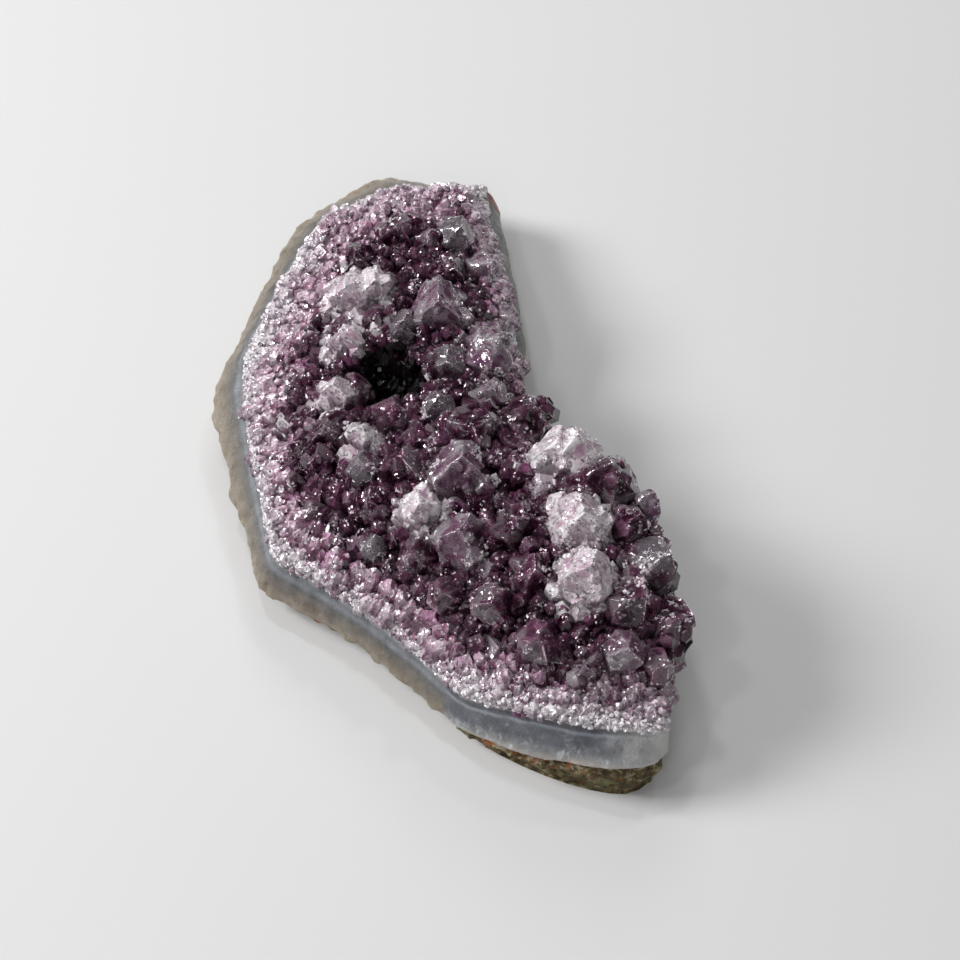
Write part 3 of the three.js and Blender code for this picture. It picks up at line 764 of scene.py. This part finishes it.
def make_rock():
    """The basalt with lumpy sides, its seat raised to meet the agate."""
    edit = welded_copy("host_rock")
    side = lambda point: point.z > FOOT_EDGE and distance_to(AGATE_TREE, point) > TOUCHING
    refine(edit, ROCK_EDGE, side)
    edit.normal_update()
    for vertex in edit.verts:
        if side(vertex.co):
            lumps = noise.fractal(vertex.co / LUMP_SIZE, 0.8, 2.1, 5)
            vertex.co += vertex.normal * ((LUMP_HEIGHT * lumps - LUMP_SINK) * MM)
            vertex.co.z = max(vertex.co.z, LOWEST_SIDE)
        elif vertex.co.z > SEAT_HEIGHT:
            vertex.co.z += SEAM
    piece = smooth_shaded(edit, "basalt_skin", sharp_degrees=35)
    gaps = [distance_to(AGATE_TREE, vertex.co) / MM for vertex in piece.data.vertices]
    float_attribute(piece, "seam", np.exp(-np.array(gaps) / SEAM_FADE))
    return finish_piece(piece, MATERIALS["basalt"], "basalt", "host_rock")


# ---------- crystal shapes


def corners_of(planes):
    """The points where three planes (normal, distance) meet inside all the others."""
    corners = []
    for (a, da), (b, db), (c, dc) in itertools.combinations(planes, 3):
        divisor = a.dot(b.cross(c))
        if abs(divisor) < 1e-6:
            continue
        point = (b.cross(c) * da + c.cross(a) * db + a.cross(b) * dc) / divisor
        inside = all(normal.dot(point) < distance + 1e-5 for normal, distance in planes)
        if inside and all((corner - point).length > 1e-3 for corner in corners):
            corners.append(point)
    return corners


def points_and_triangles(edit):
    """An edit mesh of triangles as numpy arrays."""
    edit.verts.index_update()
    points = np.array([vertex.co[:] for vertex in edit.verts])
    triangles = np.array([[vertex.index for vertex in face.verts] for face in edit.faces])
    edit.free()
    return points, triangles


def crystal_template(rng, length, unevenness):
    """Corners and triangles of a quartz crystal of radius 1 with its tip at the origin."""
    planes = [(Vector((0, 0, -1)), length)]
    for face in range(6):
        turn = face * math.pi / 3
        side = Vector((math.cos(turn), math.sin(turn), 0))
        planes.append((side, SIDE_FACE * (1 + unevenness * rng.uniform(-1, 1))))
        slope = side * math.sin(FACE_ANGLE) + UP * math.cos(FACE_ANGLE)
        planes.append((slope, rng.uniform(*SMALL_FACE_SETBACK) if face % 2 else 0))
    edit = bmesh.new()
    for corner in corners_of(planes):
        edit.verts.new(corner)
    bmesh.ops.convex_hull(edit, input=edit.verts)
    bmesh.ops.triangulate(edit, faces=edit.faces)
    edit.normal_update()
    return points_and_triangles(edit)


def rotation_to(axis, spin):
    """Turns +Z to an axis, after a spin about it."""
    return np.array(UP.rotation_difference(axis).to_matrix() @ Matrix.Rotation(spin, 3, "Z"))


class CrystalField:
    """Many crystals gathered into one joined mesh."""

    def __init__(self):
        self.points = []
        self.triangles = []
        self.values = {"tint": [], "painted_highlight": [], "depth": [], "shade": []}
        self.count = 0

    def add(self, rng, template, tip, axis, radius, depth=0.0, flattened=None):
        """Adds a template's crystal by its tip, with a random spin, tint and flattening."""
        points, triangles = template
        spin = rng.uniform(0, FULL_TURN)
        tint = rng.random()
        flatness = rng.uniform(*flattened) if flattened else 1
        turned = (points * (radius, radius * flatness, radius)) @ rotation_to(axis, spin).T
        self.points.append(turned + np.array(tip))
        self.triangles.append(triangles + self.count)
        self.values["tint"].append(np.full(len(points), tint))
        # Painted highlight: 1 at the tip, fading towards the root.
        self.values["painted_highlight"].append(np.clip(1 + points[:, 2] / HIGHLIGHT_LENGTH, 0, 1))
        self.values["depth"].append(np.full(len(points), depth))
        # Where painted shade falls: 1 at the tip, 0 from SHADE_LENGTH below it down to the root.
        self.values["shade"].append(np.clip(1 + points[:, 2] / SHADE_LENGTH, 0, 1))
        self.count += len(points)

    def build(self, name, material, slot):
        """The joined mesh, as a finished piece."""
        piece = triangle_object(name, np.concatenate(self.points), np.concatenate(self.triangles))
        for attribute, values in self.values.items():
            float_attribute(piece, attribute, np.concatenate(values))
        return finish_piece(piece, MATERIALS[material], slot)


# ---------- the druse surface


def surface_samples(edit, density, rng, keep):
    """Random points and normals on an edit mesh, so many for each square millimetre."""
    bmesh.ops.triangulate(edit, faces=edit.faces)
    corners = np.array([[vertex.co[:] for vertex in face.verts] for face in edit.faces])
    normals = np.array([face.normal[:] for face in edit.faces])
    middle = corners.mean(axis=1)
    kept = np.array([keep(Vector(point), Vector(normal)) for point, normal in zip(middle, normals)])
    corners, normals = corners[kept], normals[kept]
    if not len(corners):
        return corners, normals
    sides = corners[:, 1:] - corners[:, :1]
    areas = np.linalg.norm(np.cross(sides[:, 0], sides[:, 1]), axis=1) / 2
    count = int(density * areas.sum() / MM**2)
    chosen = rng.choice(len(areas), size=count, p=areas / areas.sum())
    first, second = np.sqrt(rng.random(count)), rng.random(count)
    weights = np.stack([1 - first, first * (1 - second), first * second], axis=1)
    points = (corners[chosen] * weights[:, :, None]).sum(axis=1)
    return points, normals[chosen]


def spaced(points, radii):
    """Indices of the points that keep their distance from those chosen before them."""
    chosen = []
    near = np.empty((0, 3))
    reach = np.empty(0)
    for index, (point, radius) in enumerate(zip(points, radii)):
        gaps = np.linalg.norm(near - point, axis=1)
        if np.any(gaps < (reach + radius) / 2):
            continue
        chosen.append(index)
        near = np.vstack([near, point])
        reach = np.append(reach, radius)
    return chosen


def open_surface(point, normal):
    """True on the druse's upper side and on the broken cliff, false against the agate."""
    return distance_to(AGATE_TREE, point) > DRUSE_START and normal.z > -0.3


def over_stone(point):
    """True where the agate lies under a point."""
    return AGATE_TREE.ray_cast(point, -UP)[0] is not None


def size_at(depth):
    """Typical radius of a druse crystal at a distance from the agate, both in metres."""
    steps = np.array([0, 1.5, 4, 8, 12, 30]) * MM
    radii = np.array([0.5, 0.75, 1.25, 1.8, 2.2, 2.3]) * MM
    return np.interp(depth, steps, radii)


def vug_closeness(point):
    """1 in the middle of the dark hollow, 0 outside it."""
    across = math.hypot(point[0] - VUG_PLACE[0], point[1] - VUG_PLACE[1])
    return max(0.0, 1 - across / VUG_REACH)


def frost_closeness(point):
    """1 in the middle of a milky standing crystal, 0 at its reach and less beyond it."""
    return max(1 - math.dist(point[:2], middle) / reach for middle, reach in FROST_PLACES)


def make_bed():
    """The surface that the small crystals stand on, a little under the CAD bed's."""
    edit = welded_copy("quartz_bed")
    refine(edit, BED_EDGE, lambda point: distance_to(AGATE_TREE, point) > 0.5 * MM)
    edit.normal_update()
    depths = []
    for vertex in edit.verts:
        depth = distance_to(AGATE_TREE, vertex.co)
        # In the hollow the bed's depth is pushed deeper, which darkens it as painted shade.
        depths.append(depth / MM + VUG_BED_SHADE_DEPTH * vug_closeness(vertex.co))
        if depth > DRUSE_START:
            rough = 0.5 + 0.9 * noise.noise(vertex.co / (2.2 * MM))
            sunk = 0.3 if depth < 6 * MM else 0.7
            vertex.co -= vertex.normal * (size_at(depth) * (sunk + 0.3 * rough))
    piece = smooth_shaded(edit, "druse_bed", sharp_degrees=25)
    float_attribute(piece, "depth", depths)
    return finish_piece(piece, MATERIALS["bed"], "druse", "quartz_bed")


def leaning_axis(normal, rng, spread, upward):
    """An axis near a surface's normal, pulled upwards and shaken."""
    pulled = Vector(normal) + UP * upward
    shaken = pulled.normalized() + Vector(rng.normal(0, spread, 3))
    return shaken.normalized()


def druse_axis(point, normal, depth, rng):
    """Druse crystals grow upwards and away from the agate, side by side."""
    away = Vector(point) - AGATE_TREE.find_nearest(Vector(point))[0]
    away.z = 0
    lean = np.interp(depth / MM, (0, 1, 4, 14), (0.0, 0.15, 0.85, 0.0))
    axis = UP + away.normalized() * lean + Vector(normal) * 0.35
    return (axis.normalized() + Vector(rng.normal(0, 0.13, 3))).normalized()


def make_druse():
    """The small crystals, white at the agate and dark purple away from it."""
    rng = np.random.default_rng(SEEDS["druse"])
    templates = [crystal_template(rng, rng.uniform(2.4, 3.2), 0.2) for _ in range(28)]
    fields = {name: CrystalField() for name in ("slope_quartz", "core_quartz", "vug_painted_shade_quartz", "frost_quartz")}
    bed = welded_copy("quartz_bed")
    for density, scale, sink in DRUSE_PASSES:
        points, normals = surface_samples(bed, density, rng, open_surface)
        depths = np.array([distance_to(AGATE_TREE, Vector(point)) for point in points])
        radii = size_at(depths) * scale * rng.uniform(0.6, 1.35, len(points))
        for index in spaced(points, radii * 1.1):
            point, depth, radius = points[index], depths[index], radii[index]
            axis = druse_axis(point, normals[index], depth, rng)
            stagger = np.interp(depth / MM, (0, 1.5, 3.5, 9), (0.3, 0.5, 1.1, 0.6))
            sunk = size_at(depth) * (sink + stagger * rng.uniform(-1, 1)) + radius * 0.2
            tip = point - np.array(axis) * sunk
            if not over_stone(Vector(tip)):
                continue
            closeness = vug_closeness(point)
            zone = "slope_quartz" if depth < CORE_DEPTH else "core_quartz"
            # Crystals in the hollow get the near-black quartz that is painted shade.
            if closeness > VUG_EDGE:
                zone = "vug_painted_shade_quartz"
            elif closeness == 0 and frost_closeness(point) > rng.uniform(*FROST_CHANCE):
                zone = "frost_quartz"
            corners, triangles = templates[rng.integers(len(templates))]
            shortened = corners * (1, rng.uniform(0.8, 1), min(1, 0.45 + depth / (8 * MM)))
            # The hollow adds depth, which darkens the colour as painted shade.
            depth_with_vug_shade = depth / MM + VUG_CRYSTAL_SHADE_DEPTH * closeness
            fields[zone].add(rng, (shortened, triangles), tip, axis, radius, depth=depth_with_vug_shade)
    bed.free()
    for zone, field in fields.items():
        field.build(f"druse_{zone}", zone, "druse")


# ---------- standing crystals


def nearest_on_segments(points, starts, ends):
    """Each point's distance to the nearest of some segments."""
    along = ends - starts
    lengths = np.maximum((along**2).sum(axis=1), 1e-12)
    offset = points[:, None, :] - starts[None, :, :]
    share = np.clip((offset * along[None]).sum(axis=2) / lengths[None], 0, 1)
    gap = offset - share[:, :, None] * along[None]
    return np.sqrt((gap**2).sum(axis=2)).min(axis=1)


def weathered(edit, seed, lump, grain):
    """Bevels a crystal's edges and works growth steps, hollows and chips into its faces.

    Returns the distance of each vertex to the nearest sharp edge of the crystal.
    """
    sharp = [edge for edge in edit.edges if len(edge.link_faces) == 2 and edge.calc_face_angle() > 0.35]
    starts = np.array([edge.verts[0].co[:] for edge in sharp])
    ends = np.array([edge.verts[1].co[:] for edge in sharp])
    bmesh.ops.bevel(edit, geom=sharp, offset=BEVEL, segments=1, affect="EDGES", clamp_overlap=True)
    bmesh.ops.triangulate(edit, faces=edit.faces)
    refine(edit, CRYSTAL_EDGE, lambda point: True)
    edit.normal_update()
    shift = Vector((seed * 3.1, seed * 1.7, seed * 2.3))
    places = np.array([vertex.co[:] for vertex in edit.verts])
    to_edge = nearest_on_segments(places, starts, ends)
    for vertex, reach in zip(edit.verts, to_edge):
        spot = vertex.co / MM
        swell = noise.fractal(spot / SWELL_SIZE + shift, 0.8, 2.0, 3)
        step = noise.multi_fractal(spot / STEP_SIZE + shift, 0.7, 2.1, 3) - 0.6
        chip = max(0.0, noise.noise(spot / CHIP_SIZE - shift) - CHIP_LEVEL)
        chip *= max(0.0, 1 - reach / CHIP_REACH)
        vertex.co += vertex.normal * ((lump * swell + grain * step - CHIP_DEPTH * chip) * MM)
    return to_edge


def make_fractures():
    """Thin healed cracks inside the standing crystals, seen through their faces."""
    rng = np.random.default_rng(SEEDS["cracks"])
    ball = bmesh.new()
    bmesh.ops.create_icosphere(ball, subdivisions=3, radius=1)
    points, triangles = points_and_triangles(ball)
    field = CrystalField()
    for node in CRYSTAL_NODES:
        low, high = (np.array(corner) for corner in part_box(node))
        tree = tree_of(node)
        reach = (high - low).min() / 2
        for _ in range(rng.integers(3, 7)):
            middle = (low + high) / 2 + rng.uniform(-0.55, 0.55, 3) * (high - low) / 2
            place, normal, _, gap = tree.find_nearest(Vector(middle))
            if (Vector(middle) - place).dot(normal) > 0 or gap < 0.6 * MM:
                continue
            radius = min(gap * 1.6, reach * rng.uniform(0.4, 0.9))
            shape = points.copy()
            wave = np.array([noise.noise(Vector(point) * 1.6 + Vector(middle) / MM) for point in points])
            shape[:, :2] *= (1 + 0.5 * wave)[:, None]
            shape[:, 2] = shape[:, 2] * 0.03 + 0.18 * wave * (1 - shape[:, 0] ** 2)
            axis = Vector(rng.normal(0, 1, 3)).normalized()
            field.add(rng, (shape * (1, 0.6, 1), triangles), middle, axis, radius)
    field.build("healed_cracks", "crack", "clear_quartz")


def height_over_bed(point):
    """How far a point is from the bed's surface, 0 for the sunk feet of the crystals."""
    above = QUARTZ_TREE.ray_cast(point, UP)[0] is None
    return distance_to(QUARTZ_TREE, point) if above else 0.0


def make_standing_crystals():
    """Each CAD crystal with its foot sunk into the bed and its faces weathered."""
    rng = np.random.default_rng(SEEDS["standing"])
    for seed, node in enumerate(CRYSTAL_NODES):
        edit = welded_copy(node)
        for vertex in edit.verts:
            if distance_to(QUARTZ_TREE, vertex.co) < FOOT_GAP:
                vertex.co.z -= FOOT_SINK
        bmesh.ops.dissolve_limit(edit, angle_limit=math.radians(4), verts=edit.verts, edges=edit.edges)
        slot = SLOT_OF[node]
        to_edge = weathered(edit, seed, *WEATHERING[slot])
        piece = smooth_shaded(edit, f"{node}_looks", sharp_degrees=28)
        float_attribute(piece, "tint", np.full(len(to_edge), rng.random()))
        # Painted highlight along the sharp edges.
        float_attribute(piece, "painted_highlight", np.clip(1 - to_edge / EDGE_HIGHLIGHT_REACH, 0, 1))
        # Painted shade towards the buried roots, by height over the bed.
        heights = np.array([height_over_bed(vertex.co) for vertex in piece.data.vertices])
        float_attribute(piece, "shade", np.clip(heights / SHADE_HEIGHT, 0, 1))
        finish_piece(piece, MATERIALS[slot], slot, node)


def parent_axis(edit):
    """The direction that a standing crystal grew in: from its foot's middle to its highest point."""
    top = max((vertex.co for vertex in edit.verts), key=lambda point: point.z)
    foot = min((vertex.co for vertex in edit.verts), key=lambda point: point.z).z
    low = [vertex.co for vertex in edit.verts if vertex.co.z < foot + ROOT_HEIGHT]
    middle = sum(low, Vector()) / len(low)
    return (top - middle).normalized()


def make_side_crystals():
    """Smaller crystals grown in parallel on the flanks of the standing ones."""
    rng = np.random.default_rng(SEEDS["side"])
    templates = [crystal_template(rng, rng.uniform(1.8, 3.0), 0.22) for _ in range(20)]
    fields = {slot: CrystalField() for slot in WEATHERING}
    for node in CRYSTAL_NODES:
        edit = welded_copy(node)
        axis = parent_axis(edit)
        flank = lambda point, normal: abs(normal.dot(axis)) < 0.75 and normal.z > -0.3
        points, normals = surface_samples(edit, SIDE_DENSITY, rng, flank)
        radii = rng.uniform(*SIDE_RADII, len(points)) * MM
        for index in spaced(points, radii * 1.4):
            lean = (axis * 1.4 + Vector(normals[index]) * 0.5 + Vector(rng.normal(0, 0.12, 3))).normalized()
            tip = points[index] + np.array(lean) * radii[index] * rng.uniform(-0.1, 0.8)
            template = templates[rng.integers(len(templates))]
            fields[SLOT_OF[node]].add(rng, template, tip, lean, radii[index])
        edit.free()
    for slot, field in fields.items():
        field.build(f"side_{slot}", slot, slot)


def make_middle_crystals():
    """Middle-sized crystals that fill the broad core of the druse between the standing ones."""
    rng = np.random.default_rng(SEEDS["middle"])
    templates = [crystal_template(rng, rng.uniform(2.2, 3.2), 0.25) for _ in range(24)]
    fields = {slot: CrystalField() for slot in MIDDLE_SHARES}
    bed = welded_copy("quartz_bed")
    core = lambda point, normal: (
        distance_to(AGATE_TREE, point) > MIDDLE_START and normal.z > -0.1 and vug_closeness(point) == 0
    )
    points, normals = surface_samples(bed, MIDDLE_DENSITY, rng, core)
    radii = rng.uniform(*MIDDLE_RADII, len(points)) * MM
    for index in spaced(points, radii * 1.6):
        axis = leaning_axis(normals[index], rng, 0.25, 0.6)
        radius = radii[index]
        tip = points[index] + np.array(axis) * radius * rng.uniform(-0.2, 0.8)
        pick = rng.random()
        slot = next(name for name, share in MIDDLE_SHARES.items() if pick <= share)
        if frost_closeness(points[index]) > 0.1:
            slot = "milky_quartz"
        template = templates[rng.integers(len(templates))]
        fields[slot].add(rng, template, tip, axis, radius, flattened=(0.8, 1))
    bed.free()
    for slot, field in fields.items():
        field.build(f"middle_{slot}", slot, slot)


def make_sugar():
    """Crusts of tiny crystals on the frosted standing crystals, and specks of it on the others."""
    rng = np.random.default_rng(SEEDS["crust"])
    templates = [crystal_template(rng, 1.6, 0.25) for _ in range(16)]
    field = CrystalField()
    for node in CRYSTAL_NODES:
        bare = CRUST_BARE[SLOT_OF[node]]
        edit = welded_copy(node)
        refine(edit, CRUST_EDGE, lambda point: True)
        crust = lambda point, normal: normal.z > -0.4 and noise.noise(point / CRUST_PATCH) > bare
        points, normals = surface_samples(edit, CRUST_DENSITY, rng, crust)
        for point, normal in zip(points, normals):
            axis = leaning_axis(normal, rng, 0.35, 0.3)
            radius = rng.uniform(*CRUST_RADII) * MM
            template = templates[rng.integers(len(templates))]
            field.add(rng, template, point + np.array(axis) * radius * 0.6, axis, radius)
        edit.free()
    field.build("sugar_crust", "sugar", "milky_quartz")


# ---------- floor, lights and camera


def make_floor():
    """A plain floor under the piece, which isn't part of it."""
    mesh = bpy.data.meshes.new("floor")
    corners = [(x * FLOOR_REACH, y * FLOOR_REACH, 0) for x, y in ((-1, -1), (1, -1), (1, 1), (-1, 1))]
    mesh.from_pydata(corners, [], [(0, 1, 2, 3)])
    mesh.update()
    shader = Shader("floor")
    shader.set(Roughness=0.7, Specular_IOR_Level=0.2, Base_Color=(0.69, 0.69, 0.694))
    mesh.materials.append(shader.material)
    floor = scene_object("floor", mesh)


def aim(thing, target):
    """Turns a lamp or a camera to a point."""
    thing.rotation_euler = (Vector(target) - thing.location).to_track_quat("-Z", "Y").to_euler()


def make_light(name, azimuth, elevation, distance, size, radiance):
    """A square lamp seen from the object at an azimuth and elevation in degrees."""
    lamp = bpy.data.lights.new(name, "AREA")
    lamp.size = size
    lamp.energy = radiance * math.pi * size * size
    piece = scene_object(name, lamp)
    turn, rise = math.radians(azimuth), math.radians(elevation)
    across = math.cos(rise)
    piece.location = Vector((math.cos(turn) * across, math.sin(turn) * across, math.sin(rise))) * distance
    aim(piece, (0, 0, 10 * MM))


def make_lights():
    """A dim white surround and the lamps."""
    world = bpy.data.worlds.new("studio")
    world.use_nodes = True
    background = world.node_tree.nodes["Background"]
    background.inputs["Color"].default_value = (1, 1, 1, 1)
    background.inputs["Strength"].default_value = AMBIENT
    bpy.context.scene.world = world
    for lamp in LAMPS:
        make_light(*lamp)


def make_camera():
    """The camera, looking north and down from the south."""
    camera = bpy.data.cameras.new("camera")
    camera.lens = CAMERA_LENS
    camera.sensor_width = CAMERA_SENSOR
    piece = scene_object("camera", camera)
    back = Vector((0, -math.cos(CAMERA_ELEVATION), math.sin(CAMERA_ELEVATION)))
    piece.location = CAMERA_TARGET + back * CAMERA_DISTANCE
    aim(piece, CAMERA_TARGET)
    bpy.context.scene.camera = piece


make_floor()
make_lights()
make_camera()
make_rock()
make_agate()
make_bed()
make_druse()
make_middle_crystals()
make_standing_crystals()
make_side_crystals()
make_fractures()
make_sugar()

bpy.context.scene.view_settings.view_transform = "Standard"
